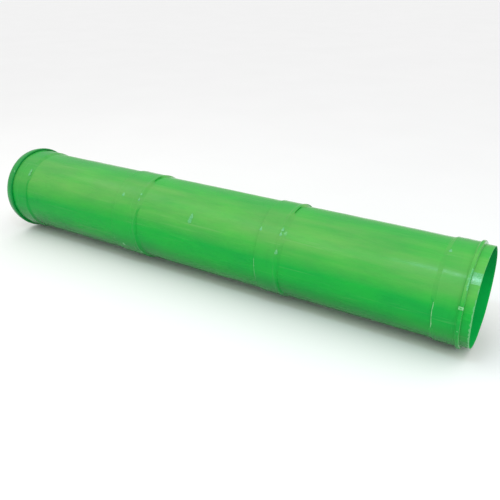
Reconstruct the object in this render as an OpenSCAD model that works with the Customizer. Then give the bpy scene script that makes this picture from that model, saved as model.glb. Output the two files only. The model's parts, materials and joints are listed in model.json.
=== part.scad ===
// Straight tube slide module. The tube lies along X: +X runs downhill, from
// the entry socket to the exit spigot, and +Z is up. The origin is the centre
// of the entry face. Modules join end to end: the spigot of the module above
// goes into the entry socket until its stop ring meets the entry face.

/* [Tube] */
// Inside diameter of the slide tube
bore_d = 762; // [600:2:900]
// Thickness of the tube's laminate
tube_wall = 6; // [5:0.5:10]
// Overall length of the module, from entry face to spigot tip
total_len = 4702; // [4000:1:6000]
// Length of the bare spigot beyond the stop ring
spigot_len = 70; // [50:1:72]
// How much smaller the spigot's radius is than the tube's
spigot_relief = 1; // [0.8:0.1:2]
// Gap between two tube ends, filled by a seal
seal_gap = 3; // [2:0.5:6]

/* [Sleeves] */
// Thickness of the sleeves and collars that wrap the tube
sleeve_wall = 9; // [7:0.5:14]
// Bond gap between the tube and what wraps it
bond_gap = 0.5; // [0.3:0.1:1.5]
// Distance from the entry face to the middle of the upper joint
upper_joint_x = 1590; // [1300:1:1800]
// Width of the upper joint sleeve
upper_sleeve_w = 292; // [160:1:360]
// Distance from the entry face to the middle of the lower joint
lower_joint_x = 3088; // [2800:1:3300]
// Width of the lower joint sleeve
lower_sleeve_w = 210; // [160:1:360]
// Height of the bead at a sleeve's downhill edge
edge_bead_h = 4.5; // [2:0.5:8]
// Width of the bead at a sleeve's downhill edge
edge_bead_w = 24; // [12:1:40]

/* [Entry end] */
// Length of the entry collar
entry_collar_len = 283; // [240:1:360]
// Depth of the entry socket, up to its seal
socket_depth = 92; // [74:1:120]
// Radial room between the socket and a spigot
socket_clearance = 2.5; // [2.5:0.1:4]
// Length of the swelling rim around the socket's mouth
rim_len = 86; // [60:1:130]
// How far the rim stands out from the collar
rim_h = 20; // [14:0.5:34]
// Radius of the rim's rounded shoulder, on its downhill side
rim_shoulder_r = 12; // [5:0.5:13]

/* [Exit end] */
// Length of the exit collar
exit_collar_len = 176; // [120:1:240]
// Thickness of the exit collar
exit_collar_wall = 8.5; // [7:0.5:14]
// Width of the stop ring
stop_ring_w = 26; // [18:1:40]
// Height of the stop ring above the tube
stop_ring_h = 25; // [16:1:34]
// Angle of the index lug, from the top towards the -Y side
index_lug_angle = 77; // [0:1:359]
// Length of the index lug along the tube
index_lug_len = 36; // [24:1:50]
// Width of the index lug around the ring
index_lug_w = 22; // [16:1:34]
// Height of the index lug above the stop ring
index_lug_h = 8; // [5:0.5:14]

/* [Fasteners] */
// Screws in each ring of screws
screws_per_ring = 8; // [6:1:12]
// Diameter of a screw's shank
screw_d = 8; // [6:0.5:10]
// Diameter of a screw's flush head
screw_head_d = 16; // [14:0.5:20]
// Height of a screw's cone
screw_head_h = 4; // [3:0.5:4.5]
// Diameter of a threaded insert
insert_d = 14; // [12:0.5:18]
// Skin left over an insert, out to the sleeve's surface
insert_skin = 1.5; // [1:0.5:3]
// Radial clearance of inserts and screws
fastener_clearance = 0.15; // [0.1:0.05:0.4]

/* [Hidden] */

$fn = 144;
small_fn = 32;
arc_steps = 6;

// Radii shared by everything on the tube's axis
bore_r = bore_d / 2;
tube_r = bore_r + tube_wall;
wrap_r = tube_r + bond_gap;
sleeve_r = wrap_r + sleeve_wall;
exit_collar_r = wrap_r + exit_collar_wall;
spigot_r = tube_r - spigot_relief;
socket_r = spigot_r + socket_clearance;
collar_r = socket_r + sleeve_wall;
rim_r = collar_r + rim_h;
stop_ring_r = tube_r + stop_ring_h;

// Stations along the tube, from the entry face at x = 0
upper_tube_x0 = socket_depth + seal_gap;
upper_tube_x1 = upper_joint_x - seal_gap / 2;
middle_tube_x0 = upper_joint_x + seal_gap / 2;
middle_tube_x1 = lower_joint_x - seal_gap / 2;
lower_tube_x0 = lower_joint_x + seal_gap / 2;
stop_ring_x1 = total_len - spigot_len;
stop_ring_x0 = stop_ring_x1 - stop_ring_w;
exit_collar_x0 = stop_ring_x0 - exit_collar_len;

// Rings of screws: one in the entry collar, one each side of each joint,
// one in the exit collar
entry_screws_x = (upper_tube_x0 + entry_collar_len) / 2;
upper_screws_x = [upper_joint_x - upper_sleeve_w / 4,
                  upper_joint_x + upper_sleeve_w / 4];
lower_screws_x = [lower_joint_x - lower_sleeve_w / 4,
                  lower_joint_x + lower_sleeve_w / 4];
exit_screws_x = exit_collar_x0 + exit_collar_len / 2;

// Fastener details
screw_sink = 0.2;
screw_tip_gap = 0.8;
insert_seat_gap = 0.3;
edge_chamfer = 1.5;
ring_corner_r = 5;
rim_mouth_h = 2.5;
rim_swell = 1.8;
lug_corner_r = 5;
lug_skirt = 3;
lug_screw_d = 6;
lug_screw_depth = 14;
lug_screw_tip_gap = 1;
lug_screw_head_d = 11;
lug_screw_top_d = 8;
lug_screw_head_h = 2.5;

// How far every cutter runs past the face that it opens
cut_past = 2;

// Paint and rubber colours
green = [0.16, 0.68, 0.25];
coated = [0.14, 0.62, 0.24];
steel = [0.62, 0.64, 0.66];
rubber = [0.08, 0.10, 0.09];

// Points on an arc, in a profile's own plane
function arc(centre, r, a0, a1) =
    [for (i = [0:arc_steps])
        let (a = a0 + (a1 - a0) * i / arc_steps)
        centre + r * [cos(a), sin(a)]];

// Turns a profile of [radius, x] points around the tube's axis
module turned(profile) {
    rotate([0, 90, 0]) rotate_extrude() polygon(profile);
}

// A plain ring on the tube's axis
module ring(x0, x1, inner_r, outer_r) {
    translate([x0, 0, 0]) rotate([0, 90, 0]) difference() {
        cylinder(h = x1 - x0, r = outer_r);
        translate([0, 0, -cut_past])
            cylinder(h = x1 - x0 + 2 * cut_past, r = inner_r);
    }
}

// Places children on every screw's line: local +Z points out of the tube
module on_screw_lines(stations) {
    for (x = stations, i = [0:screws_per_ring - 1])
        rotate([(i + 0.5) * 360 / screws_per_ring, 0, 0])
            translate([x, 0, 0])
                children();
}

// Radius out to which an insert's pocket reaches in a sleeve
function pocket_r(outer_r) = outer_r - insert_skin;

// Hole and countersink that a screw takes in the tube's wall
module screw_hole() {
    hole_r = screw_d / 2 + fastener_clearance;
    sink_r = screw_head_d / 2 + fastener_clearance;
    translate([0, 0, bore_r - cut_past])
        cylinder(h = tube_wall + 2 * cut_past, r = hole_r, $fn = small_fn);
    translate([0, 0, bore_r - cut_past])
        cylinder(h = cut_past + screw_sink, r = sink_r, $fn = small_fn);
    translate([0, 0, bore_r + screw_sink])
        cylinder(h = screw_head_h, r1 = sink_r, r2 = hole_r, $fn = small_fn);
}

// Flush screw, put in from inside the tube
module screw(outer_r) {
    tip_r = pocket_r(outer_r) - screw_tip_gap;
    head_z = bore_r + screw_sink;
    translate([0, 0, head_z])
        cylinder(h = screw_head_h, d1 = screw_head_d, d2 = screw_d,
                 $fn = small_fn);
    translate([0, 0, head_z + screw_head_h])
        cylinder(h = tip_r - head_z - screw_head_h, d = screw_d,
                 $fn = small_fn);
}

// Blind pocket for an insert, open towards the tube
module insert_pocket(inner_r, outer_r) {
    translate([0, 0, inner_r - cut_past])
        cylinder(h = pocket_r(outer_r) - inner_r + cut_past,
                 r = insert_d / 2 + fastener_clearance, $fn = small_fn);
}

// Threaded insert, laminated into a sleeve
module insert(inner_r, outer_r) {
    z0 = inner_r + insert_seat_gap;
    translate([0, 0, z0]) difference() {
        cylinder(h = pocket_r(outer_r) - z0, d = insert_d, $fn = small_fn);
        translate([0, 0, -cut_past])
            cylinder(h = pocket_r(outer_r) - z0 + 2 * cut_past,
                     r = screw_d / 2 + fastener_clearance, $fn = small_fn);
    }
}

// One length of tube, with its rings of countersunk holes
module tube_length(x0, x1, stations) {
    difference() {
        ring(x0, x1, bore_r, tube_r);
        on_screw_lines(stations) screw_hole();
    }
}

// Sleeve over a joint: plain band with a bead at its downhill edge
module joint_sleeve(mid_x, width, stations) {
    x0 = mid_x - width / 2;
    x1 = mid_x + width / 2;
    bead_r = sleeve_r + edge_bead_h;
    difference() {
        turned(concat(
            [[wrap_r, x0],
             [sleeve_r - edge_chamfer, x0],
             [sleeve_r, x0 + edge_chamfer],
             [sleeve_r, x1 - edge_bead_w - edge_bead_h]],
            arc([bead_r - edge_bead_h, x1 - edge_bead_w],
                edge_bead_h, -90, 0),
            arc([bead_r - edge_bead_h, x1 - edge_bead_h],
                edge_bead_h, 0, 90),
            [[wrap_r, x1]]));
        on_screw_lines(stations) insert_pocket(wrap_r, sleeve_r);
    }
}

module upper_tube() {
    color(green)
        tube_length(upper_tube_x0, upper_tube_x1,
                    [entry_screws_x, upper_screws_x[0]]);
}

module middle_tube() {
    color(green)
        tube_length(middle_tube_x0, middle_tube_x1,
                    [upper_screws_x[1], lower_screws_x[0]]);
}

// The lowest length of tube; its end is trimmed down to make the spigot
module lower_tube() {
    color(green) difference() {
        tube_length(lower_tube_x0, total_len,
                    [lower_screws_x[1], exit_screws_x]);
        ring(stop_ring_x1, total_len + cut_past,
             spigot_r, tube_r + cut_past);
    }
}

// Sleeve over the upper tube's end, with a wider socket that takes the
// spigot of the module above
module entry_collar() {
    color(green) difference() {
        turned([[socket_r, 0],
                [collar_r, 0],
                [collar_r, entry_collar_len - edge_chamfer],
                [collar_r - edge_chamfer, entry_collar_len],
                [wrap_r, entry_collar_len],
                [wrap_r, socket_depth],
                [socket_r, socket_depth]]);
        on_screw_lines([entry_screws_x]) insert_pocket(wrap_r, collar_r);
    }
}

// Rim around the socket's mouth: swells from a thin front edge to its
// crest, then drops over a round shoulder to a crease on the collar
module entry_rim() {
    inner_r = collar_r + bond_gap / 2;
    mouth_r = collar_r + rim_mouth_h;
    crest_x = rim_len - rim_shoulder_r;
    color(green) turned(concat(
        [[inner_r, 0]],
        [for (i = [0:arc_steps - 1])
            let (t = i / arc_steps)
            [rim_r - (rim_r - mouth_r) * pow(1 - t, rim_swell), crest_x * t]],
        arc([rim_r - rim_shoulder_r, crest_x], rim_shoulder_r, 0, 90),
        [[inner_r, rim_len]]));
}

// Ring between two tube ends, or between the upper tube and a spigot
module seal(x0) {
    color(rubber) ring(x0, x0 + seal_gap, bore_r, tube_r);
}

module entry_seal() { seal(socket_depth); }
module upper_joint_seal() { seal(upper_tube_x1); }
module lower_joint_seal() { seal(middle_tube_x1); }

module upper_joint_sleeve() {
    color(green)
        joint_sleeve(upper_joint_x, upper_sleeve_w, upper_screws_x);
}

module lower_joint_sleeve() {
    color(green)
        joint_sleeve(lower_joint_x, lower_sleeve_w, lower_screws_x);
}

module exit_collar() {
    color(green) difference() {
        turned([[wrap_r, exit_collar_x0],
                [exit_collar_r - edge_chamfer, exit_collar_x0],
                [exit_collar_r, exit_collar_x0 + edge_chamfer],
                [exit_collar_r, stop_ring_x0],
                [wrap_r, stop_ring_x0]]);
        on_screw_lines([exit_screws_x])
            insert_pocket(wrap_r, exit_collar_r);
    }
}

// Places children at the index lug: local +Z points out of the ring
module at_index_lug() {
    rotate([index_lug_angle, 0, 0])
        translate([(stop_ring_x0 + stop_ring_x1) / 2, 0, stop_ring_r])
            children();
}

// Square ring that stops the spigot at the next module's entry face
module stop_ring() {
    corner = ring_corner_r;
    color(green) difference() {
        turned(concat(
            [[wrap_r, stop_ring_x0]],
            arc([stop_ring_r - corner, stop_ring_x0 + corner],
                corner, -90, 0),
            arc([stop_ring_r - corner, stop_ring_x1 - corner],
                corner, 0, 90),
            [[wrap_r, stop_ring_x1]]));
        at_index_lug()
            translate([0, 0, -lug_screw_depth])
                cylinder(h = lug_screw_depth + cut_past,
                         r = lug_screw_d / 2 + fastener_clearance,
                         $fn = small_fn);
    }
}

// Saddle on the stop ring that marks how the module is turned
module index_lug() {
    color(green) difference() {
        at_index_lug() difference() {
            translate([0, 0, -lug_skirt])
            linear_extrude(index_lug_h + lug_skirt) {
                for (side = [-1, 1])
                    translate([side * (index_lug_len / 2 - lug_corner_r), 0])
                        square([2 * lug_corner_r, index_lug_w - 2 * lug_corner_r],
                               center = true);
                square([index_lug_len - 2 * lug_corner_r, index_lug_w],
                       center = true);
                for (sx = [-1, 1], sy = [-1, 1])
                    translate([sx * (index_lug_len / 2 - lug_corner_r),
                               sy * (index_lug_w / 2 - lug_corner_r)])
                        circle(r = lug_corner_r, $fn = small_fn);
            }
            translate([0, 0, -lug_skirt - cut_past])
                cylinder(h = index_lug_h + lug_skirt + 2 * cut_past,
                         r = lug_screw_d / 2 + fastener_clearance,
                         $fn = small_fn);
        }
        rotate([0, 90, 0])
            cylinder(h = total_len, r = stop_ring_r + fastener_clearance);
    }
}

// Low round-headed screw through the index lug
module index_lug_screw() {
    color(coated) at_index_lug() {
        translate([0, 0, lug_screw_tip_gap - lug_screw_depth])
            cylinder(h = lug_screw_depth - lug_screw_tip_gap + index_lug_h,
                     d = lug_screw_d, $fn = small_fn);
        translate([0, 0, index_lug_h])
            cylinder(h = lug_screw_head_h, d1 = lug_screw_head_d,
                     d2 = lug_screw_top_d, $fn = small_fn);
    }
}

module inserts(stations, inner_r, outer_r) {
    color(steel) on_screw_lines(stations) insert(inner_r, outer_r);
}

module screws(stations, outer_r) {
    color(coated) on_screw_lines(stations) screw(outer_r);
}

module entry_inserts() { inserts([entry_screws_x], wrap_r, collar_r); }
module entry_screws() { screws([entry_screws_x], collar_r); }
module upper_joint_inserts() { inserts(upper_screws_x, wrap_r, sleeve_r); }
module upper_joint_screws() { screws(upper_screws_x, sleeve_r); }
module lower_joint_inserts() { inserts(lower_screws_x, wrap_r, sleeve_r); }
module lower_joint_screws() { screws(lower_screws_x, sleeve_r); }
module exit_inserts() { inserts([exit_screws_x], wrap_r, exit_collar_r); }
module exit_screws() { screws([exit_screws_x], exit_collar_r); }

upper_tube();
middle_tube();
lower_tube();
entry_collar();
entry_rim();
entry_seal();
upper_joint_sleeve();
upper_joint_seal();
lower_joint_sleeve();
lower_joint_seal();
exit_collar();
stop_ring();
index_lug();
index_lug_screw();
entry_inserts();
entry_screws();
upper_joint_inserts();
upper_joint_screws();
lower_joint_inserts();
lower_joint_screws();
exit_inserts();
exit_screws();
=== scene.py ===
"""Looks of the straight tube slide module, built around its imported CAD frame.

The frame gives the places and the outer sizes: the tube lies along X, from
the entry socket at x = 0 down to the exit spigot. The visible shells are laid
up again here as hand-made laminate, with slight waves and uneven edges, round
the same radii and stations as the CAD nodes that they replace.
"""

import json
import math

import bmesh
import bpy
import numpy as np
from mathutils import Matrix, Vector


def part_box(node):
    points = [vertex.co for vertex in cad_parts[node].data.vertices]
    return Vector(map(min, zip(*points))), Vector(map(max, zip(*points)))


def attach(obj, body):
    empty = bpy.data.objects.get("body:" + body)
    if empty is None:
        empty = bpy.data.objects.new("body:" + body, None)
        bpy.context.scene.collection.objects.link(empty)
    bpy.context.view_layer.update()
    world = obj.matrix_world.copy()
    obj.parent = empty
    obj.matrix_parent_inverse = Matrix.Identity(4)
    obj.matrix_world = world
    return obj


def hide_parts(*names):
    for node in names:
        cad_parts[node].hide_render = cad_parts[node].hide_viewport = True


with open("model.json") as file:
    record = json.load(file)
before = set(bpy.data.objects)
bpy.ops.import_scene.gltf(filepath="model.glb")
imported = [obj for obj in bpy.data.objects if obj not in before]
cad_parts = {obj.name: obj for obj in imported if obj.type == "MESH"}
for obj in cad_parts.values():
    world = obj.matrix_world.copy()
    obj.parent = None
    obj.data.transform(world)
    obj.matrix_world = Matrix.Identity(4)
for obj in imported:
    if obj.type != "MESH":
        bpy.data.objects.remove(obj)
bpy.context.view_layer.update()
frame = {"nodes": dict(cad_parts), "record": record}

MM = 0.001
ROUND = 224                 # segments round the tube
SHARP = math.radians(32)    # edges that bend more than this stay sharp


# ---------------------------------------------------------------- sizes

def reach(node):
    """Start and end along X, and outer radius, of a CAD node on the axis."""
    low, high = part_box(node)
    return low.x, high.x, max(high.z, -low.z)


upper_x0, upper_x1, tube_r = reach("upper_tube")
middle_x0, middle_x1, _ = reach("middle_tube")
lower_x0, tip_x, _ = reach("lower_tube")
_, collar_x1, collar_r = reach("entry_collar")
_, rim_x1, rim_r = reach("entry_rim")
sleeve_a_x0, sleeve_a_x1, sleeve_bead_r = reach("upper_joint_sleeve")
sleeve_b_x0, sleeve_b_x1, _ = reach("lower_joint_sleeve")
exit_x0, exit_x1, exit_r = reach("exit_collar")
ring_x0, ring_x1, ring_r = reach("stop_ring")

mount = {m["name"]: m for m in frame["record"]["mounts"]}
socket_r = mount["entry_socket"]["dims"]["r_mm"] * MM
socket_depth = mount["entry_socket"]["dims"]["length_mm"] * MM
spigot_r = mount["exit_spigot"]["dims"]["r_mm"] * MM

tube_wall, sleeve_wall, bond_gap = 6 * MM, 9 * MM, 0.5 * MM
bore_r = tube_r - tube_wall
wrap_r = tube_r + bond_gap
sleeve_r = wrap_r + sleeve_wall
bead_h, bead_w = sleeve_bead_r - sleeve_r, 24 * MM

screws_round = 8
screw_d, screw_head_d, screw_head_h = 8 * MM, 16 * MM, 4 * MM
screw_sink, screw_tip_gap = 0.2 * MM, 0.8 * MM
insert_d, insert_skin = 14 * MM, 1.5 * MM
fastener_gap = 0.15 * MM    # on the radius, round screws and inserts
overcut = 3 * MM            # how far a cutter stands past the face it cuts

lug_angle = math.radians(13)
lug_tall = 8 * MM
lug_screw_d = 6 * MM

edge_zone = 40 * MM         # how far in from its edge a sleeve is uneven
feather_rim = 0.1 * MM      # resin is moved only this far above the tube
feather_sink = 0.35 * MM    # how far feathered resin sinks onto the tube


def screw_stations(node):
    """Where along X a node of screws has its one or two rings."""
    low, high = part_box(node)
    first, last = low.x + screw_head_d / 2, high.x - screw_head_d / 2
    return [first] if last - first < MM else [first, last]


entry_screws = screw_stations("entry_screws")
upper_screws = screw_stations("upper_joint_screws")
lower_screws = screw_stations("lower_joint_screws")
exit_screws = screw_stations("exit_screws")


# ---------------------------------------------------------------- meshes

def link(name, verts, faces, materials, slots=None, smooth=True):
    """A new mesh object from arrays; slots are its faces' materials."""
    mesh = bpy.data.meshes.new(name)
    mesh.from_pydata([tuple(v) for v in verts], [], [tuple(f) for f in faces])
    obj = bpy.data.objects.new(name, mesh)
    bpy.context.scene.collection.objects.link(obj)
    for m in materials:
        mesh.materials.append(m)
    if slots is not None:
        mesh.polygons.foreach_set("material_index", slots)
    if smooth:
        mesh.shade_smooth()
    mesh.update()
    return obj


def waves(seed, amplitude, longest, shortest, turns, count=14):
    """Smooth random relief of (x, angle), periodic round the tube."""
    rng = np.random.default_rng(seed)
    length = np.geomspace(longest, shortest, count)
    k = 2 * math.pi / length * rng.choice([-1, 1], count)
    m = rng.integers(0, turns + 1, count)
    phase = rng.uniform(0, 2 * math.pi, count)
    share = amplitude * np.sqrt(length / longest) / math.sqrt(count / 2)

    def height(x, a):
        total = np.zeros(np.broadcast(x, a).shape)
        for i in range(count):
            total += share[i] * np.cos(k[i] * x + m[i] * a + phase[i])
        return total
    return height


def round_waves(seed, amplitude, slowest, fastest, count=10):
    """Smooth random offset of the angle alone, for an uneven edge."""
    rng = np.random.default_rng(seed)
    m = rng.integers(slowest, fastest + 1, count)
    phase = rng.uniform(0, 2 * math.pi, count)
    share = amplitude / math.sqrt(count / 2)
    return lambda a: sum(share * np.cos(m[i] * a + phase[i]) for i in range(count))


def ease(t):
    """Smooth step from 0 to 1."""
    t = np.clip(t, 0, 1)
    return t * t * (3 - 2 * t)


def window(x, x0, x1, fade):
    """1 between x0 and x1, easing to 0 over a distance at each end."""
    return ease((x - x0) / fade) * ease((x1 - x) / fade)


def wrapped(a):
    """The same angle, between -pi and pi; 0 is level on the -Y side."""
    return np.angle(np.exp(1j * a))


def arc(cx, cr, radius, start, end, steps=5):
    """Profile points (x, r) on an arc; angles in degrees from +x."""
    out = []
    for i in range(steps + 1):
        a = math.radians(start + (end - start) * i / steps)
        out.append((cx + radius * math.cos(a), cr + radius * math.sin(a)))
    return out


def run(x0, x1, r, step):
    """Profile points along a straight stretch, both ends included."""
    n = max(1, round(abs(x1 - x0) / step))
    return [(x0 + (x1 - x0) * i / n, r) for i in range(n + 1)]


def without_repeats(profile, apart=0.05 * MM):
    """The closed profile without points that repeat the one before."""
    out = [profile[0]]
    for p in profile[1:]:
        if math.dist(p, out[-1]) > apart:
            out.append(p)
    if math.dist(out[0], out[-1]) <= apart:
        out.pop()
    return out


def revolve(name, profile, materials, shape, slot_of=None):
    """Closed (x, r) profile turned about the X axis.

    The angle a rises from level on the -Y side. shape(x, r, a) moves the
    grid of points, and slot_of(x, r, a) picks a face's material from the
    middle of its stretch of profile and the angle of its first edge.
    """
    profile = np.array(without_repeats(profile))
    n = len(profile)
    a = np.arange(ROUND) * 2 * math.pi / ROUND
    x = np.repeat(profile[:, :1], ROUND, axis=1)
    r = np.repeat(profile[:, 1:], ROUND, axis=1)
    x, r = shape(x, r, np.broadcast_to(a, x.shape))
    verts = np.stack([x, -r * np.cos(a), r * np.sin(a)], axis=-1).reshape(-1, 3)
    faces, slots = [], []
    for i in range(n):
        j = (i + 1) % n
        mid = (profile[i] + profile[j]) / 2
        for s in range(ROUND):
            t = (s + 1) % ROUND
            faces.append((i * ROUND + s, j * ROUND + s,
                          j * ROUND + t, i * ROUND + t))
            slots.append(slot_of(*mid, a[s]) if slot_of else 0)
    obj = link(name, verts, faces, materials, slots)
    clean(obj)
    return obj


def clean(obj):
    """Joins doubled points, drops slivers, and turns every face outwards.

    It also marks the sharp edges, which a cut or a turned face changes.
    """
    bm = bmesh.new()
    bm.from_mesh(obj.data)
    bmesh.ops.remove_doubles(bm, verts=bm.verts, dist=0.01 * MM)
    bmesh.ops.dissolve_degenerate(bm, edges=bm.edges, dist=0.005 * MM)
    bmesh.ops.recalc_face_normals(bm, faces=bm.faces)
    bm.to_mesh(obj.data)
    bm.free()
    obj.data.set_sharp_from_angle(angle=SHARP)


def cut(obj, cutter):
    """Cuts one closed mesh out of another, for good."""
    mod = obj.modifiers.new("cut", "BOOLEAN")
    mod.operation = "DIFFERENCE"
    mod.solver = "EXACT"
    mod.object = cutter
    graph = bpy.context.evaluated_depsgraph_get()
    made = bpy.data.meshes.new_from_object(obj.evaluated_get(graph))
    obj.modifiers.remove(mod)
    old = obj.data
    name = old.name
    obj.data = made
    bpy.data.meshes.remove(old)
    made.name = name
    bpy.data.objects.remove(cutter)
    clean(obj)


def turned_solid(points, segments):
    """Vertices and faces of a closed (r, z) outline turned about Z.

    The first and last points lie on the axis.
    """
    verts = [(0, 0, points[0][1])]
    for r, z in points[1:-1]:
        for s in range(segments):
            a = 2 * math.pi * s / segments
            verts.append((r * math.cos(a), r * math.sin(a), z))
    verts.append((0, 0, points[-1][1]))
    rings = len(points) - 2
    faces = []
    for s in range(segments):
        t = (s + 1) % segments
        faces.append((0, 1 + t, 1 + s))
        for k in range(rings - 1):
            base = 1 + k * segments
            faces.append((base + s, base + t,
                          base + segments + t, base + segments + s))
        base = 1 + (rings - 1) * segments
        faces.append((base + s, base + t, len(verts) - 1))
    return verts, faces


def copies(verts, faces, places):
    """One set of vertices and faces repeated at each matrix."""
    all_verts, all_faces = [], []
    for place in places:
        base = len(all_verts)
        all_verts += [place @ Vector(v) for v in verts]
        all_faces += [tuple(base + i for i in f) for f in faces]
    return all_verts, all_faces


def screw_places(stations):
    """Matrices that take local +Z out along each screw's line."""
    return [Matrix.Rotation((i + 0.5) * 2 * math.pi / screws_round, 4, "X")
            @ Matrix.Translation((x, 0, 0))
            for x in stations for i in range(screws_round)]


# ---------------------------------------------------------------- materials

EVEN = (1, 1, 1)            # a noise that isn't stretched


def new_material(name):
    """An empty node material with its Principled shader."""
    mat = bpy.data.materials.new(name)
    mat.use_nodes = True
    tree = mat.node_tree
    tree.nodes.clear()
    shader = tree.nodes.new("ShaderNodeBsdfPrincipled")
    output = tree.nodes.new("ShaderNodeOutputMaterial")
    tree.links.new(shader.outputs[0], output.inputs["Surface"])
    return mat, tree, shader


def node(tree, kind, inputs=None, **settings):
    """Adds a shader node; inputs are numbers, colours or sockets."""
    made = tree.nodes.new("ShaderNode" + kind)
    for key, value in settings.items():
        setattr(made, key, value)
    for key, value in (inputs or {}).items():
        if isinstance(value, bpy.types.NodeSocket):
            tree.links.new(value, made.inputs[key])
        else:
            made.inputs[key].default_value = value
    return made


def noise(tree, stretch, scale, detail=2.0, rough=0.5):
    """Noise in the part's frame, in features per metre, stretched by axis."""
    where = node(tree, "TexCoord").outputs["Object"]
    mapped = node(tree, "Mapping", {"Vector": where, "Scale": stretch})
    made = node(tree, "TexNoise", {
        "Vector": mapped.outputs[0], "Scale": scale,
        "Detail": detail, "Roughness": rough})
    return made.outputs["Fac"]


def between(tree, value, low, high, to_low, to_high):
    """Maps a value from one range to another, clamped."""
    made = node(tree, "MapRange", {
        "Value": value, "From Min": low, "From Max": high,
        "To Min": to_low, "To Max": to_high})
    return made.outputs["Result"]


def mix(tree, factor, first, second):
    """Mixes two colours by a factor socket."""
    made = node(tree, "Mix", data_type="RGBA")
    tree.links.new(factor, made.inputs[0])
    for slot, colour in ((6, first), (7, second)):
        if isinstance(colour, bpy.types.NodeSocket):
            tree.links.new(colour, made.inputs[slot])
        else:
            made.inputs[slot].default_value = (*colour, 1)
    return made.outputs[2]


def times(tree, first, second):
    """Product of two values."""
    made = node(tree, "Math", {0: first, 1: second}, operation="MULTIPLY")
    return made.outputs[0]


def bump(tree, height, distance, strength, below=None):
    """A bump node, on top of another if one is given."""
    made = node(tree, "Bump", {
        "Height": height, "Distance": distance, "Strength": strength})
    if below is not None:
        tree.links.new(below, made.inputs["Normal"])
    return made.outputs[0]


def upward(tree, low, high, to_low=0, to_high=1):
    """Maps how far a face looks up, from -1 to 1, to another range."""
    normal = node(tree, "TexCoord").outputs["Normal"]
    rise = node(tree, "SeparateXYZ", {"Vector": normal}).outputs["Z"]
    return between(tree, rise, low, high, to_low, to_high)


def surface(tree, shader, colour, roughness, normal):
    """Feeds a shader the three things that vary over its surface."""
    tree.links.new(colour, shader.inputs["Base Color"])
    tree.links.new(roughness, shader.inputs["Roughness"])
    tree.links.new(normal, shader.inputs["Normal"])


def paint_sheen_and_shade(tree, colour, sheen_level):
    """Mixes a painted sheen into the upper side of a colour, and painted shade
    into the lower.
    """
    bloom = noise(tree, (0.13, 1, 1), 8, 5, 0.6)
    amount = between(tree, bloom, 0.3, 0.7, 0.6 * sheen_level, 1.4 * sheen_level)
    # painted sheen: faces that look up turn towards a pale tan, as if lit by the
    # overhead light, a little less at the very top
    painted_sheen_mask = times(tree, upward(tree, 0.12, 0.52), amount)
    painted_sheen_mask = times(tree, painted_sheen_mask, upward(tree, 0.93, 1.0, 1, 0.35))
    colour = mix(tree, painted_sheen_mask, colour, (0.74, 0.62, 0.30))
    # painted shade: faces that look down turn towards dark green, in patches, as
    # if shaded
    shade_patches = between(tree, bloom, 0.3, 0.7, 0.42, 0.62)
    painted_shade_mask = times(tree, upward(tree, -0.16, -0.66), shade_patches)
    return mix(tree, painted_shade_mask, colour, (0.015, 0.060, 0.028))


def gelcoat(name, deep, light, lay, gloss, peel, sheen_level):
    """Pigmented gelcoat over hand-laid glass: painted sheen above, painted shade
    below.

    lay stretches the brush and roller marks along X or round the tube,
    gloss is the roughness range, peel the strength of the orange peel, and
    the last argument how strong the painted sheen on the upper side is.
    """
    mat, tree, shader = new_material(name)
    cloud = noise(tree, (0.4, 1, 1), 4.5, 4, 0.6)
    marks = noise(tree, lay, 34, 3, 0.6)
    specks = noise(tree, EVEN, 420, 1)
    colour = mix(tree, between(tree, cloud, 0.35, 0.68, 0, 1), deep, light)
    streaked = tuple(c * 0.88 for c in deep)
    colour = mix(tree, between(tree, marks, 0.52, 0.8, 0, 0.35),
                 colour, streaked)
    pale = tuple(c * 0.9 + 0.03 for c in light)
    colour = mix(tree, between(tree, specks, 0.70, 0.78, 0, 0.3),
                 colour, pale)
    scuffs = noise(tree, (0.025, 1, 1), 40, 4, 0.6)
    colour = mix(tree, between(tree, scuffs, 0.62, 0.72, 0, 0.3),
                 colour, (0.13, 0.46, 0.13))
    smear = noise(tree, lay, 9, 4, 0.6)
    skin = bump(tree, noise(tree, EVEN, 260, 2), 0.4 * MM, peel)
    weave = bump(tree, noise(tree, EVEN, 55, 3), 0.6 * MM, 0.12, skin)
    hand = bump(tree, noise(tree, (0.55, 1, 1), 7, 2), 4 * MM, 0.12, weave)
    surface(tree, shader, paint_sheen_and_shade(tree, colour, sheen_level),
            between(tree, smear, 0.3, 0.75, *gloss), hand)
    shader.inputs["Specular IOR Level"].default_value = 0.13
    return mat


def worn_bore():
    """Inside of the tube: smooth gelcoat with fine marks along the run, and
    painted shade on its ceiling.
    """
    mat, tree, shader = new_material("bore_gelcoat")
    cloud = noise(tree, EVEN, 4, 3)
    scuffs = noise(tree, (0.03, 1, 1), 160, 4, 0.7)
    colour = mix(tree, between(tree, cloud, 0.3, 0.7, 0, 1),
                 (0.004, 0.48, 0.082), (0.006, 0.54, 0.094))
    colour = mix(tree, between(tree, scuffs, 0.62, 0.78, 0, 0.35),
                 colour, (0.020, 0.52, 0.12))
    # painted shade: faces that look down, on the ceiling of the bore, are darkened
    painted_ceiling_shade = upward(tree, 0.25, -0.75, 0, 0.8)
    colour = mix(tree, painted_ceiling_shade, colour, (0.005, 0.16, 0.045))
    lines = bump(tree, scuffs, 0.1 * MM, 0.25)
    wide = bump(tree, noise(tree, (0.5, 1, 1), 8, 2), 3 * MM, 0.2, lines)
    surface(tree, shader, colour, between(tree, scuffs, 0.3, 0.75, 0.28, 0.5),
            wide)
    shader.inputs["Specular IOR Level"].default_value = 0.1
    shader.inputs["Specular Tint"].default_value = (0.2, 0.9, 0.35, 1)
    return mat


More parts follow.
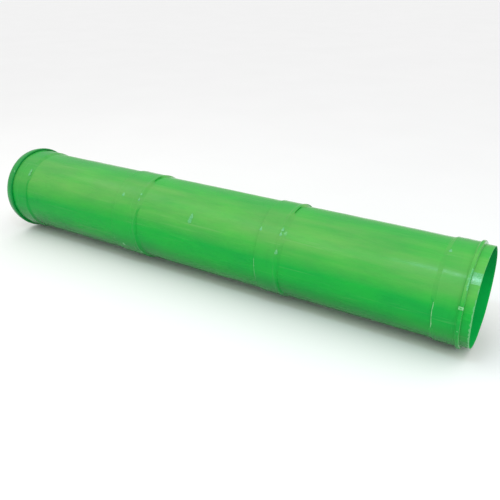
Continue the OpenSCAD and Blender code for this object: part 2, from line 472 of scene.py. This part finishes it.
def raw_laminate():
    """Sanded cut edge of the laminate, with its glass strands."""
    mat, tree, shader = new_material("cut_laminate")
    strands = noise(tree, EVEN, 700, 3, 0.7)
    patches = noise(tree, EVEN, 60, 2)
    colour = mix(tree, between(tree, strands, 0.4, 0.65, 0, 1),
                 (0.06, 0.42, 0.11), (0.20, 0.58, 0.24))
    colour = mix(tree, between(tree, patches, 0.5, 0.7, 0, 0.5),
                 colour, (0.03, 0.40, 0.08))
    surface(tree, shader, colour, between(tree, strands, 0.3, 0.7, 0.55, 0.8),
            bump(tree, strands, 0.3 * MM, 0.5))
    return mat


def pale_highlight_material(name, deep, pale, gloss):
    """Thin pale gelcoat with the glass showing; its pale colour serves as a
    painted highlight.
    """
    mat, tree, shader = new_material(name)
    thin = noise(tree, EVEN, 90, 4, 0.7)
    colour = mix(tree, between(tree, thin, 0.35, 0.65, 0, 1), deep, pale)
    surface(tree, shader, colour, between(tree, thin, 0.3, 0.7, *gloss),
            bump(tree, thin, 0.2 * MM, 0.2))
    return mat


def seal_rubber():
    """Dark green-black rubber with a fine bloom."""
    mat, tree, shader = new_material("seal_rubber")
    grain = noise(tree, EVEN, 900, 3, 0.7)
    bloom = noise(tree, EVEN, 30, 3)
    colour = mix(tree, between(tree, bloom, 0.35, 0.7, 0, 1),
                 (0.012, 0.022, 0.014), (0.035, 0.055, 0.038))
    surface(tree, shader, colour, between(tree, bloom, 0.3, 0.7, 0.55, 0.75),
            bump(tree, grain, 0.15 * MM, 0.4))
    return mat


def coated_steel():
    """Green powder coat over steel, thin at the tool marks."""
    mat, tree, shader = new_material("coated_steel")
    pebble = noise(tree, EVEN, 1300, 2)
    wear_and_highlight = noise(tree, EVEN, 220, 4, 0.7)
    bare = between(tree, wear_and_highlight, 0.68, 0.74, 0, 0.8)
    colour = mix(tree, between(tree, pebble, 0.35, 0.65, 0, 1),
                 (0.010, 0.38, 0.055), (0.016, 0.45, 0.07))
    colour = mix(tree, bare, colour, (0.42, 0.43, 0.42))
    surface(tree, shader, colour, between(tree, pebble, 0.3, 0.7, 0.28, 0.42),
            bump(tree, pebble, 0.1 * MM, 0.35))
    tree.links.new(bare, shader.inputs["Metallic"])
    return mat


def plated_steel():
    """Zinc-plated inserts with turning marks and a faint blue tint."""
    mat, tree, shader = new_material("plated_steel")
    turned = noise(tree, (1, 0.1, 0.1), 1500, 2)
    tint = noise(tree, EVEN, 90, 2)
    colour = mix(tree, between(tree, tint, 0.35, 0.65, 0, 1),
                 (0.50, 0.53, 0.56), (0.62, 0.61, 0.56))
    surface(tree, shader, colour, between(tree, turned, 0.3, 0.7, 0.25, 0.45),
            bump(tree, turned, 0.05 * MM, 0.4))
    shader.inputs["Metallic"].default_value = 1.0
    return mat


along_x = (0.16, 1, 1)
round_x = (1, 0.12, 0.12)
# the last number of each gelcoat sets how strong its painted sheen on the upper
# side is
tube_coat = gelcoat("tube_gelcoat", (0.003, 0.350, 0.046),
                    (0.010, 0.425, 0.042), along_x, (0.13, 0.38), 0.10, 0.118)
sleeve_coat = gelcoat("sleeve_gelcoat", (0.004, 0.345, 0.046),
                      (0.011, 0.410, 0.044), round_x, (0.12, 0.36), 0.12, 0.118)
socket_coat = gelcoat("socket_gelcoat", (0.002, 0.330, 0.046),
                      (0.007, 0.390, 0.045), round_x, (0.15, 0.30), 0.12, 0.08)
rim_coat = gelcoat("rim_gelcoat", (0.002, 0.255, 0.048),
                   (0.005, 0.315, 0.052), round_x, (0.13, 0.28), 0.12, 0.03)
bore_coat = worn_bore()
cut_edge = raw_laminate()
# painted highlights: two pale coats laid on edges, faces and patches where the
# light catches; the second also colours the resin runs
highlight_coat = pale_highlight_material("highlight_gelcoat", (0.10, 0.46, 0.14),
                      (0.24, 0.56, 0.26), (0.08, 0.30))
resin_and_highlight = pale_highlight_material("resin_and_highlight_gelcoat", (0.06, 0.41, 0.11),
                      (0.13, 0.47, 0.18), (0.15, 0.32))
rubber = seal_rubber()
coated = coated_steel()
plated = plated_steel()


# ---------------------------------------------------------------- pieces

def carry(piece, cad_node):
    """The piece rides with the part and stands for one CAD node."""
    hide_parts(cad_node)
    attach(piece, "root")


def make_cutter(outline, places, segments=32):
    """A cutter of one turned outline at each of these places."""
    verts, faces = turned_solid(outline, segments)
    obj = link("cutter", *copies(verts, faces, places), [], smooth=False)
    clean(obj)
    return obj


def screw_holes(stations):
    """Cutter for the countersunk holes in a length of tube."""
    hole = screw_d / 2 + fastener_gap
    sink = screw_head_d / 2 + fastener_gap
    seat = bore_r + screw_sink
    low, high = bore_r - overcut, tube_r + overcut
    return make_cutter([(0, low), (sink, low), (sink, seat),
                        (hole, seat + screw_head_h), (hole, high), (0, high)],
                       screw_places(stations))


def insert_pockets(stations, outer_r):
    """Cutter for the blind pockets in a sleeve's inner face."""
    r = insert_d / 2 + fastener_gap
    low, high = wrap_r - overcut, outer_r - insert_skin
    return make_cutter([(0, low), (r, low), (r, high), (0, high)],
                       screw_places(stations))


def lug_place():
    """Matrix at the index lug: local +Z points out of the stop ring."""
    return (Matrix.Rotation(math.pi / 2 - lug_angle, 4, "X")
            @ Matrix.Translation(((ring_x0 + ring_x1) / 2, 0, ring_r)))


def lug_screw_hole(low, high):
    """Cutter for the lug's screw between two heights off the stop ring."""
    r = lug_screw_d / 2 + fastener_gap
    return make_cutter([(0, low), (r, low), (r, high), (0, high)],
                       [lug_place()], 24)


def tube_piece(name, x0, x1, clear, stations, seed, spigot_x=None):
    """One length of tube: a wavy outside where it is bare, true elsewhere.

    clear is the bare stretch between what wraps the tube. spigot_x is where
    the last length narrows to the spigot, whose edge is uneven; its front edge
    and a band from 37 to 51 degrees are painted pale as highlights.
    """
    end_r = spigot_r if spigot_x else tube_r
    lip, fine = 1.2 * MM, 24 * MM
    outer = run(x0 + lip, spigot_x or x1 - lip, tube_r, 16 * MM)
    if spigot_x:
        outer += run(spigot_x, x1 - fine, spigot_r, 9 * MM)
        outer += run(x1 - fine, x1 - lip, spigot_r, fine / 10)
    inner = run(x1 - lip, x0 + lip, bore_r, 18 * MM)
    profile = (outer
               + arc(x1 - lip, end_r - lip, lip, 90, 0, 3)
               + arc(x1 - lip, bore_r + lip, lip, 0, -90, 3)
               + inner
               + arc(x0 + lip, bore_r + lip, lip, 270, 180, 3)
               + arc(x0 + lip, tube_r - lip, lip, 180, 90, 3))
    skin = waves(seed, 0.9 * MM, 1.3, 0.16, 5)
    liner = waves(seed + 50, 0.35 * MM, 0.9, 0.2, 4)
    trim = round_waves(seed + 7, 0.7 * MM, 2, 9)
    ragged = round_waves(seed + 8, 2.5 * MM, 5, 60, 24)

    def shape(x, r, a):
        bare = window(x, clear[0], clear[1], 60 * MM)
        outside = r > (bore_r + end_r) / 2
        near = np.ones_like(x)
        for s in stations:
            near *= ease((abs(x - s) - 14 * MM) / (40 * MM))
        move = np.where(outside, bare * skin(x, a), near * liner(x, a))
        if spigot_x:
            tip = ease((x - x1 + 25 * MM) / (25 * MM))
            x = x + tip * (trim(a) - 0.9 * MM)
        return x, r + move

    def slot_of(x, r, a):
        if spigot_x and x > x1 - lip and bore_r + lip / 2 < r < end_r - lip / 2:
            return 2
        if r <= bore_r + lip:
            return 1
        if not spigot_x or x < spigot_x:
            return 0
        # painted highlight: the spigot takes a pale coat from 37 to 51 degrees,
        # where the light reflects, and along its tip on the front
        turned = math.degrees(wrapped(a))
        wear_and_highlight = 10 * MM * window(turned, -75, 35, 30) + ragged(a)
        return 3 if 37 < turned < 51 or x > x1 - wear_and_highlight else 0

    obj = revolve(name + "_shell", profile,
                  [tube_coat, bore_coat, cut_edge, resin_and_highlight], shape, slot_of)
    cut(obj, screw_holes(stations))
    carry(obj, name)


tube_piece("upper_tube", upper_x0, upper_x1, (collar_x1, sleeve_a_x0),
           [entry_screws[0], upper_screws[0]], 11)
tube_piece("middle_tube", middle_x0, middle_x1, (sleeve_a_x1, sleeve_b_x0),
           [upper_screws[1], lower_screws[0]], 12)
tube_piece("lower_tube", lower_x0, tip_x, (sleeve_b_x1, exit_x0),
           [lower_screws[1], exit_screws[0]], 13, ring_x1)


def crisp_at(spans, seed):
    """1 where an edge ends in a clean crease, 0 where resin fills it.

    spans lists (from, to, how crisp) in degrees on the front, and the back
    drifts between the two.
    """
    drift = round_waves(seed, 0.5, 2, 6)

    def amount(a):
        turned = np.degrees(wrapped(a))
        crisp = ease((abs(turned) - 100) / 20) * ease(0.5 + drift(a))
        for low, high, depth in spans:
            crisp = np.maximum(crisp, depth * window(turned, low, high, 8))
        return crisp
    return amount


def feather(shoulder, down, long, back):
    """How far resin carries an edge out along the tube.

    shoulder is how much of the edge is feathered, and down goes from 0 at
    its top to 1 at its foot. Fully feathered, the top draws back by back
    millimetres, and the foot runs out by long less back.
    """
    return shoulder * (long * down ** 1.3 - back) * MM


def sleeve_shape(x0, x1, seed, crisp):
    """Moves a sleeve's grid: wandering edges, uneven bead, slight waves."""
    left = round_waves(seed, 1.5 * MM, 2, 13)
    right = round_waves(seed + 1, 1.1 * MM, 2, 17)
    crest = round_waves(seed + 2, 0.8 * MM, 2, 15)
    skin = waves(seed + 3, 0.45 * MM, 0.5, 0.07, 9)

    def shape(x, r, a):
        up = ease((r - wrap_r) / (sleeve_r - wrap_r))
        near_left = ease(1 - (x - x0) / edge_zone)
        near_right = ease(1 - (x1 - x) / edge_zone)
        wander = (near_left * left(a) + near_right * right(a)) * up
        down = np.clip((sleeve_bead_r - r) / (sleeve_bead_r - wrap_r), 0, 1)
        shoulder = (1 - crisp(a)) * ease((x - x1 + 12 * MM) / (10 * MM))
        on_top = (r > wrap_r + feather_rim) | (x > x1 - 0.5 * MM)
        ramp = np.where(on_top, feather(shoulder, down, 34, 7), 0)
        lift = up * (skin(x, a) * (1 - near_left) * (1 - near_right)
                     + ease((r - sleeve_r) / bead_h) * crest(a))
        return x + wander + ramp, r + lift - feather_sink * shoulder * down
    return shape


def edge_highlight_slots(x0, low, high, seed):
    """Slots for a sleeve whose upper edge is painted pale in one arc on the front,
    as a painted highlight.
    """
    ragged = round_waves(seed, 0.9 * MM, 9, 60, 24)

    def slot_of(x, r, a):
        turned = math.degrees(wrapped(a))
        wide = 5 * MM * window(turned, low, high, 9) + ragged(a)
        wear_and_highlight = low < turned < high and r > wrap_r + 5 * MM
        return 1 if wear_and_highlight and x - x0 < wide else 0
    return slot_of


def joint_sleeve(name, x0, x1, stations, seed, spans, wear_and_highlight):
    """Laid-up sleeve over a joint, with a rolled bead downhill.

    spans are where its lower edge is crisp, and the last argument gives the two
    angles between which its upper edge is painted pale as a highlight.
    """
    toe = 5 * MM
    ramp_x = x1 - bead_w - 10 * MM
    profile = ([(x0, wrap_r)]
               + arc(x0 + toe, sleeve_r - toe, toe, 180, 90, 6)
               + run(x0 + toe, x0 + toe + 10 * MM, sleeve_r, 2 * MM)
               + run(x0 + toe + 10 * MM, ramp_x, sleeve_r, 14 * MM)
               + [(ramp_x + 12 * MM * t, sleeve_r + bead_h * float(ease(t)))
                  for t in (0.2, 0.4, 0.6, 0.8, 1.0)]
               + run(x1 - bead_w + 4 * MM, x1 - toe, sleeve_bead_r, 3 * MM)
               + arc(x1 - toe, sleeve_bead_r - toe, toe, 90, 0, 5)
               + [(x1, wrap_r + (sleeve_bead_r - toe - wrap_r) * t)
                  for t in (0.8, 0.6, 0.4, 0.2, 0)]
               + run(x1 - 2 * MM, x0 + 2 * MM, wrap_r, 40 * MM))
    # painted highlight: an arc of the upper edge takes the pale highlight coat
    obj = revolve(name + "_wrap", profile, [sleeve_coat, highlight_coat],
                  sleeve_shape(x0, x1, seed, crisp_at(spans, seed + 4)),
                  edge_highlight_slots(x0, *wear_and_highlight, seed + 5))
    cut(obj, insert_pockets(stations, sleeve_r))
    carry(obj, name)


joint_sleeve("upper_joint_sleeve", sleeve_a_x0, sleeve_a_x1, upper_screws, 21,
             [(-12, 34, 0.7), (72, 100, 1)], (-30, -12))
joint_sleeve("lower_joint_sleeve", sleeve_b_x0, sleeve_b_x1, lower_screws, 31,
             [(-44, 2, 0.75), (70, 100, 1)], (-28, 12))


def exit_band():
    """Plain band that backs up the stop ring."""
    toe = 4 * MM
    profile = ([(exit_x0, wrap_r + (exit_r - toe - wrap_r) * t)
                for t in (0, 0.25, 0.5, 0.75)]
               + arc(exit_x0 + toe, exit_r - toe, toe, 180, 90, 5)
               + run(exit_x0 + toe, exit_x0 + toe + 10 * MM, exit_r, 2 * MM)
               + run(exit_x0 + toe + 10 * MM, exit_x1, exit_r, 12 * MM)
               + run(exit_x1, exit_x0 + 2 * MM, wrap_r, 40 * MM))
    left = round_waves(41, 1.5 * MM, 2, 13)
    skin = waves(42, 0.6 * MM, 0.4, 0.07, 9)
    crisp = crisp_at([(-30, 16, 0.85)], 44)

    def shape(x, r, a):
        up = ease((r - wrap_r) / (exit_r - wrap_r))
        near_left = ease(1 - (x - exit_x0) / edge_zone)
        inside = window(x, exit_x0, exit_x1, 25 * MM)
        down = np.clip((exit_r - r) / (exit_r - wrap_r), 0, 1)
        on_top = (r > wrap_r + feather_rim) | (x < exit_x0 + 0.5 * MM)
        shoulder = (1 - crisp(a)) * ease((exit_x0 + 9 * MM - x) / (8 * MM))
        ramp = np.where(on_top, feather(shoulder, down, 30, 6), 0)
        lift = up * inside * skin(x, a) - feather_sink * shoulder * down
        return x + near_left * left(a) * up - ramp, r + lift

    # painted highlight: the left edge takes the pale coat from -25 to 14 degrees
    obj = revolve("exit_collar_wrap", profile, [sleeve_coat, highlight_coat], shape,
                  edge_highlight_slots(exit_x0, -25, 14, 43))
    cut(obj, insert_pockets(exit_screws, exit_r))
    carry(obj, "exit_collar")


def entry_socket_piece():
    """Collar over the upper tube's end, opened out into the socket."""
    toe, fine, chamfer = 4 * MM, 16 * MM, 1.5 * MM
    profile = (run(0, collar_x1 - fine, collar_r, 12 * MM)
               + run(collar_x1 - fine, collar_x1 - toe, collar_r, 3 * MM)
               + arc(collar_x1 - toe, collar_r - toe, toe, 90, 0, 5)
               + [(collar_x1, wrap_r + (collar_r - toe - wrap_r) * t)
                  for t in (0.75, 0.5, 0.25, 0)]
               + run(collar_x1 - 2 * MM, socket_depth, wrap_r, 30 * MM)
               + run(socket_depth, 3 * MM, socket_r, 20 * MM)
               + [(0, socket_r + chamfer)])
    right = round_waves(51, 1.6 * MM, 2, 13)
    skin = waves(52, 0.5 * MM, 0.4, 0.07, 9)
    crisp = crisp_at([(-8, 36, 0.75)], 53)

    def shape(x, r, a):
        up = ease((r - socket_r) / (collar_r - socket_r))
        near_right = ease(1 - (collar_x1 - x) / edge_zone)
        inside = window(x, rim_x1 + 5 * MM, collar_x1, 25 * MM)
        down = np.clip((collar_r - r) / (collar_r - wrap_r), 0, 1)
        on_top = (r > wrap_r + feather_rim) | (x > collar_x1 - 0.5 * MM)
        shoulder = (1 - crisp(a)) * ease((x - collar_x1 + 9 * MM) / (8 * MM))
        ramp = np.where(on_top, feather(shoulder, down, 32, 6), 0)
        lift = up * inside * skin(x, a) - feather_sink * shoulder * down
        return x + near_right * right(a) * up + ramp, r + lift

    def slot_of(x, r, _):
        inside_r = socket_r + chamfer + 0.1 * MM
        if x < MM and r > inside_r:
            return 2
        return 1 if r < inside_r and x < socket_depth + MM else 0

    obj = revolve("entry_collar_wrap", profile,
                  [socket_coat, bore_coat, cut_edge], shape, slot_of)
    cut(obj, insert_pockets(entry_screws, collar_r))
    carry(obj, "entry_collar")


def entry_rim_piece():
    """Rim that swells from the mouth and drops to a crease on the collar."""
    inner, mouth = collar_r + 0.25 * MM, collar_r + 2.5 * MM
    shoulder = 11 * MM
    crest_x = rim_x1 - shoulder
    swell = [(crest_x * t, rim_r - (rim_r - mouth) * (1 - t) ** 1.8)
             for t in np.linspace(0.03, 1, 16)]
    profile = ([(0, inner), (0, mouth - 1.2 * MM)]
               + swell
               + arc(crest_x, rim_r - shoulder, shoulder, 80, 0, 7)
               + [(rim_x1, inner + 4 * MM), (rim_x1 - 1 * MM, inner + 1 * MM),
                  (rim_x1 - 1.5 * MM, inner)])
    high = round_waves(61, 0.7 * MM, 2, 11)
    foot_line = round_waves(62, 1.4 * MM, 2, 17)
    skin = waves(63, 0.5 * MM, 0.4, 0.07, 9)

    def shape(x, r, a):
        up = ease((r - inner) / (rim_r - inner))
        near_foot = ease(1 - (rim_x1 - x) / (25 * MM))
        middle = window(x, 10 * MM, crest_x, 30 * MM)
        moved = x + near_foot * foot_line(a) * ease((r - inner) / MM)
        return moved, r + up * high(a) + middle * up * skin(x, a)

    obj = revolve("entry_rim_lip", profile, [rim_coat], shape)
    carry(obj, "entry_rim")


def stop_ring_piece():
    """Square ring with rounded-off corners and a puttied root; its right face and
    a patch of its front rounding are painted pale as highlights.
    """
    back, front = 6 * MM, 9 * MM
    left_root, right_root = 9 * MM, 2.4 * MM
    lug_spread = 0.05       # radians beside the lug where the crest is true
    profile = ([(ring_x0, wrap_r), (ring_x0, exit_r + 0.25 * MM)]
               + arc(ring_x0 - left_root, exit_r + left_root + 0.2 * MM,
                     left_root, 270, 360, 6)
               + arc(ring_x0 + back, ring_r - back, back, 180, 90, 6)
               + run(ring_x0 + back, ring_x1 - front, ring_r, 4 * MM)
               + arc(ring_x1 - front, ring_r - front, front, 90, 0, 7)
               + arc(ring_x1 + right_root, spigot_r + right_root + 0.2 * MM,
                     right_root, 180, 270, 4)
               + [(ring_x1, spigot_r + 0.3 * MM), (ring_x1, wrap_r)])
    crest = round_waves(71, 0.8 * MM, 2, 19)
    face = round_waves(72, 0.6 * MM, 2, 13)

    def shape(x, r, a):
        up = ease((r - wrap_r) / (ring_r - wrap_r))
        off_lug = 1 - np.exp(-(wrapped(a - lug_angle) / lug_spread) ** 2)
        left = ease((ring_x1 - x) / (ring_x1 - ring_x0))
        high = ease((r - exit_r - 2 * MM) / (6 * MM))
        return x + left * up * high * face(a), r + up * off_lug * crest(a) * high

    # painted highlight: a pale patch on the front rounding from 30 to 52 degrees,
    # and a pale right face
    def slot_of(x, r, a):
        if r <= tube_r + 3 * MM:
            return 0
        if x > ring_x1 - front and 30 < math.degrees(a) < 52:
            return 2
        return 1 if x > ring_x1 - 0.5 * MM else 0

    obj = revolve("stop_ring_hoop", profile, [sleeve_coat, highlight_coat, resin_and_highlight],
                  shape, slot_of)
    cut(obj, lug_screw_hole(-14 * MM, 2 * MM))
    carry(obj, "stop_ring")


def round_rectangle(half_x, half_y, corner, steps=5):
    """Outline of a rectangle with round corners, anticlockwise."""
    out = []
    for sx, sy, start in ((1, 1, 0), (-1, 1, 90), (-1, -1, 180), (1, -1, 270)):
        for i in range(steps + 1):
            a = math.radians(start + 90 * i / steps)
            out.append((sx * (half_x - corner) + corner * math.cos(a),
                        sy * (half_y - corner) + corner * math.sin(a)))
    return out


def index_lug_piece():
    """Crowned saddle block that sits on the stop ring."""
    low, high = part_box("index_lug")
    half_x = (high.x - low.x) / 2
    half_y, corner, bevel = 11 * MM, 5 * MM, 2.2 * MM
    base_gap, crown = 0.15 * MM, 0.3 * MM

    def saddle(y):
        return math.sqrt(ring_r ** 2 - y ** 2) - ring_r + base_gap

    rings = []
    for share in (0.35, 0.7, 1.0):
        rings.append([(x * share, y * share, saddle(y * share))
                      for x, y in round_rectangle(half_x, half_y, corner)])
    levels = [(0, lug_tall - bevel)]
    for i in range(1, 6):
        a = math.radians(18 * i)
        levels.append((bevel * (1 - math.cos(a)),
                       lug_tall - bevel + bevel * math.sin(a)))
    for inset, z in levels:
        rings.append([(x, y, z) for x, y in round_rectangle(
            half_x - inset, half_y - inset, corner - inset)])
    for share in (0.8, 0.5, 0.25):
        rings.append([(x * share, y * share, lug_tall + crown * (1 - share))
                      for x, y in round_rectangle(
                          half_x - bevel, half_y - bevel, corner - bevel)])
    verts = [(0, 0, saddle(0))] + [p for ring in rings for p in ring]
    verts.append((0, 0, lug_tall + crown))
    n = len(rings[0])
    faces = []
    for s in range(n):
        t = (s + 1) % n
        faces.append((0, 1 + t, 1 + s))
        for k in range(len(rings) - 1):
            b = 1 + k * n
            faces.append((b + s, b + t, b + n + t, b + n + s))
        b = 1 + (len(rings) - 1) * n
        faces.append((b + s, b + t, len(verts) - 1))
    # painted highlight: the whole lug block takes the pale highlight coat
    obj = link("index_lug_block", *copies(verts, faces, [lug_place()]),
               [highlight_coat])
    clean(obj)
    cut(obj, lug_screw_hole(-4 * MM, lug_tall + 4 * MM))
    carry(obj, "index_lug")


exit_band()
entry_socket_piece()
entry_rim_piece()
stop_ring_piece()
index_lug_piece()


def seal_piece(name, seed):
    """Rubber ring, squeezed out a little between the tube ends."""
    x0, x1, _ = reach(name)
    wide, bulge = x1 - x0, 0.35 * MM
    inside = [(x1 - wide * t, bore_r - bulge * math.sin(math.pi * t))
              for t in np.linspace(0, 1, 7)]
    outside = [(x0 + wide * t, tube_r) for t in np.linspace(0, 1, 4)]
    press = round_waves(seed, 0.12 * MM, 3, 21)

    def shape(x, r, a):
        middle = np.sin(np.pi * np.clip((x - x0) / wide, 0, 1))
        return x, r + np.where(r < bore_r + MM, middle * press(a), 0)

    obj = revolve(name + "_ring", outside + inside, [rubber], shape)
    carry(obj, name)


def drip(long, wide, tall, rings=7, segments=14):
    """Closed mesh of a cured resin run that hangs down along -Y."""
    verts, faces = [(0, 0.5 * long, 0)], []
    for i in range(1, rings):
        t = i / rings
        y = long * (0.5 - t)
        half = wide / 2 * (0.35 + 0.65 * float(ease(t * 1.3)))
        half *= math.sqrt(max(0.0, 1 - (2 * t - 1) ** 4))
        for s in range(segments):
            a = 2 * math.pi * s / segments
            verts.append((half * math.cos(a), y,
                          tall * half / (wide / 2) * math.sin(a)))
    verts.append((0, -0.5 * long, 0))
    for s in range(segments):
        t = (s + 1) % segments
        faces.append((0, 1 + s, 1 + t))
        for k in range(rings - 2):
            b = 1 + k * segments
            faces.append((b + s, b + segments + s, b + segments + t, b + t))
        b = 1 + (rings - 2) * segments
        faces.append((b + s, len(verts) - 1, b + t))
    return verts, faces


def on_surface(x, degrees, r):
    """Matrix on the outside at an angle up from the -Y side."""
    turn = Matrix.Rotation(math.pi / 2 - math.radians(degrees), 4, "X")
    return turn @ Matrix.Translation((x, 0, r))


def resin_runs():
    """Small shiny runs of resin, mostly along the edges of the sleeves; their pale
    colour is partly a painted highlight.

    Each row is a station, its radius, how big the runs are, and their
    angles in degrees; two more go at random on the back and underside.
    """
    rng = np.random.default_rng(91)
    edges = [(rim_x1 - 14 * MM, rim_r - 0.6 * MM, 0.8, [40]),
             (collar_x1 - 8 * MM, collar_r - 0.3 * MM, 1.6, [47, 42]),
             (sleeve_a_x0 + 81 * MM, sleeve_r, 1.4, [45]),
             (sleeve_a_x1 - 12 * MM, sleeve_bead_r, 1.1, [51, 43]),
             (sleeve_a_x1 + 576 * MM, tube_r, 2.0, [33, 38]),
             (sleeve_b_x0 + 12 * MM, sleeve_r, 1.2, [43]),
             (sleeve_b_x1 - 12 * MM, sleeve_bead_r, 1.2, [48, 42, 21]),
             (exit_x0 + 14 * MM, exit_r, 1.0, [70]),
             (ring_x1 - 9 * MM, ring_r - 0.6 * MM, 0.6, [46, 42, 38, 35, -13])]
    verts, faces = [], []
    for x, r, size, angles in edges:
        more = list(rng.uniform(100, 330, 2))
        for degrees in angles + more:
            long, wide, tall = rng.uniform((24, 18, 1.2), (36, 25, 1.9))
            v, f = drip(long * size * MM, wide * size * MM, tall * MM)
            place = on_surface(x + rng.uniform(-3, 3) * MM, degrees, r)
            v, f = copies(v, f, [place])
            faces += [tuple(k + len(verts) for k in face) for face in f]
            verts += v
    obj = link("resin_runs", verts, faces, [resin_and_highlight])
    clean(obj)
    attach(obj, "root")


resin_runs()
seal_piece("entry_seal", 81)
seal_piece("upper_joint_seal", 82)
seal_piece("lower_joint_seal", 83)


def hexed(points, segments, flats):
    """A turned outline whose marked rings are hexagons, flats apart.

    A marked ring takes nothing from its own radius.
    """
    verts, faces = turned_solid([(r, z) for r, z, _ in points], segments)
    apothem = flats / 2
    index = 1
    for _, z, six in points[1:-1]:
        for s in range(segments):
            if six:
                a = 2 * math.pi * s / segments
                turn = (a % (math.pi / 3)) - math.pi / 6
                r = apothem / math.cos(turn)
                verts[index] = (r * math.cos(a), r * math.sin(a), z)
            index += 1
    return verts, faces


def screws_piece(name, stations, outer_r):
    """Countersunk socket screws, seen flush from inside the tube."""
    face = bore_r + screw_sink
    tip = outer_r - insert_skin - screw_tip_gap
    head, shank, lip = screw_head_d / 2, screw_d / 2, 0.35 * MM
    outline = [(0, face + 2.6 * MM, False),
               (0, face + 2.2 * MM, True), (0, face, True),
               (head - lip, face, False), (head, face + lip, False),
               (shank, face + screw_head_h, False),
               (shank, tip - 0.8 * MM, False),
               (shank - 0.8 * MM, tip, False), (0, tip, False)]
    verts, faces = hexed(outline, 24, 5 * MM)
    obj = link(name + "_set", *copies(verts, faces, screw_places(stations)),
               [coated])
    clean(obj)
    carry(obj, name)


screws_piece("entry_screws", entry_screws, collar_r)
screws_piece("upper_joint_screws", upper_screws, sleeve_r)
screws_piece("lower_joint_screws", lower_screws, sleeve_r)
screws_piece("exit_screws", exit_screws, exit_r)


def lug_screw_piece():
    """Low round-headed socket screw through the index lug."""
    seat, shank = lug_tall + 0.3 * MM, lug_screw_d / 2
    tip, bevel = -13 * MM, 0.6 * MM
    outline = [(0, tip, False), (shank - bevel, tip, False),
               (shank, tip + bevel, False), (shank, seat, False),
               (5.5 * MM, seat, False), (5.5 * MM, seat + 0.7 * MM, False),
               (5.0 * MM, seat + 1.5 * MM, False),
               (4.0 * MM, seat + 2.1 * MM, False),
               (2.9 * MM, seat + 2.3 * MM, False),
               (0, seat + 2.3 * MM, True), (0, seat + 0.9 * MM, True),
               (0, seat + 0.7 * MM, False)]
    verts, faces = hexed(outline, 24, 4 * MM)
    obj = link("index_lug_cap", *copies(verts, faces, [lug_place()]),
               [coated])
    clean(obj)
    carry(obj, "index_lug_screw")


lug_screw_piece()

for carried in ("entry_inserts", "upper_joint_inserts",
                "lower_joint_inserts", "exit_inserts"):
    insert = frame["nodes"][carried]
    insert.data.materials.clear()
    insert.data.materials.append(plated)


# ---------------------------------------------------------------- stage

def make_floor(level, half, material):
    """A plain pale floor, far wider than the view."""
    cells = 8
    grid = np.linspace(-half, half, cells + 1)
    verts = [(x, y, level) for y in grid for x in grid]
    w = cells + 1
    faces = [(j * w + i, j * w + i + 1, (j + 1) * w + i + 1, (j + 1) * w + i)
             for j in range(cells) for i in range(cells)]
    floor = link("floor", verts, faces, [material], smooth=False)


def floor_material():
    """Matt white studio floor."""
    mat, tree, shader = new_material("studio_floor")
    shade = noise(tree, EVEN, 0.8, 2)
    colour = mix(tree, shade, (0.90, 0.90, 0.90), (0.93, 0.93, 0.93))
    tree.links.new(colour, shader.inputs["Base Color"])
    shader.inputs["Roughness"].default_value = 0.9
    shader.inputs["Specular IOR Level"].default_value = 0.1
    return mat


def area_light(name, place, aim, size, power, colour):
    """A soft rectangular light that looks at a point."""
    data = bpy.data.lights.new(name, "AREA")
    data.shape = "RECTANGLE"
    data.size, data.size_y = size
    data.energy = power
    data.color = colour
    lamp = bpy.data.objects.new(name, data)
    lamp.location = place
    lamp.rotation_mode = "QUATERNION"
    look = Vector(aim) - Vector(place)
    lamp.rotation_quaternion = look.to_track_quat("-Z", "Y")
    bpy.context.scene.collection.objects.link(lamp)


def sky(zenith, horizon):
    """Plain studio surround, brighter overhead than at the horizon."""
    world = bpy.data.worlds.new("studio")
    bpy.context.scene.world = world
    world.use_nodes = True
    tree = world.node_tree
    tree.nodes.clear()
    where = node(tree, "TexCoord").outputs["Generated"]
    height = node(tree, "SeparateXYZ", {"Vector": where}).outputs["Z"]
    level = between(tree, height, 0.10, 0.80, horizon, zenith)
    back = node(tree, "Background", {"Strength": level})
    back.inputs["Color"].default_value = (1, 1, 1, 1)
    out = node(tree, "OutputWorld")
    tree.links.new(back.outputs[0], out.inputs["Surface"])


def camera(tip, radius):
    """Camera at the photograph's angle, placed in tube radii from the tip."""
    place = tip + radius * Vector((1.176, -10.473, 5.614))
    aim = tip + radius * Vector((-5.133, 0, -0.285))
    data = bpy.data.cameras.new("camera")
    data.sensor_width = 36
    data.lens = 42.4
    data.clip_end = 200
    cam = bpy.data.objects.new("camera", data)
    cam.location = place
    cam.rotation_mode = "QUATERNION"
    cam.rotation_quaternion = (aim - place).to_track_quat("-Z", "Y")
    bpy.context.scene.collection.objects.link(cam)
    bpy.context.scene.camera = cam


def studio_lights():
    """A long key light, a cool glint and a weak fill at the open end."""
    middle = Vector((tip_x / 2, 0, 0))
    mouth = Vector((tip_x - 0.2, 0, 0))
    area_light("key", middle + Vector((-1.5, -2.6, 4.6)), middle,
               (9, 1.6), 74, (1.0, 0.98, 0.90))
    area_light("glint", mouth + Vector((-0.75, -2.6, 4.55)), mouth,
               (1.15, 0.4), 36, (0.6, 0.88, 1.0))
    area_light("mouth_fill", mouth + Vector((1.4, -1.0, 0.7)), mouth,
               (0.9, 0.9), 5.5, (0.95, 1.0, 1.0))


make_floor(-rim_r - MM, 90, floor_material())
sky(1.12, 0.55)
studio_lights()
camera(Vector((tip_x, 0, 0)), tube_r)
bpy.context.scene.view_settings.view_transform = "Standard"
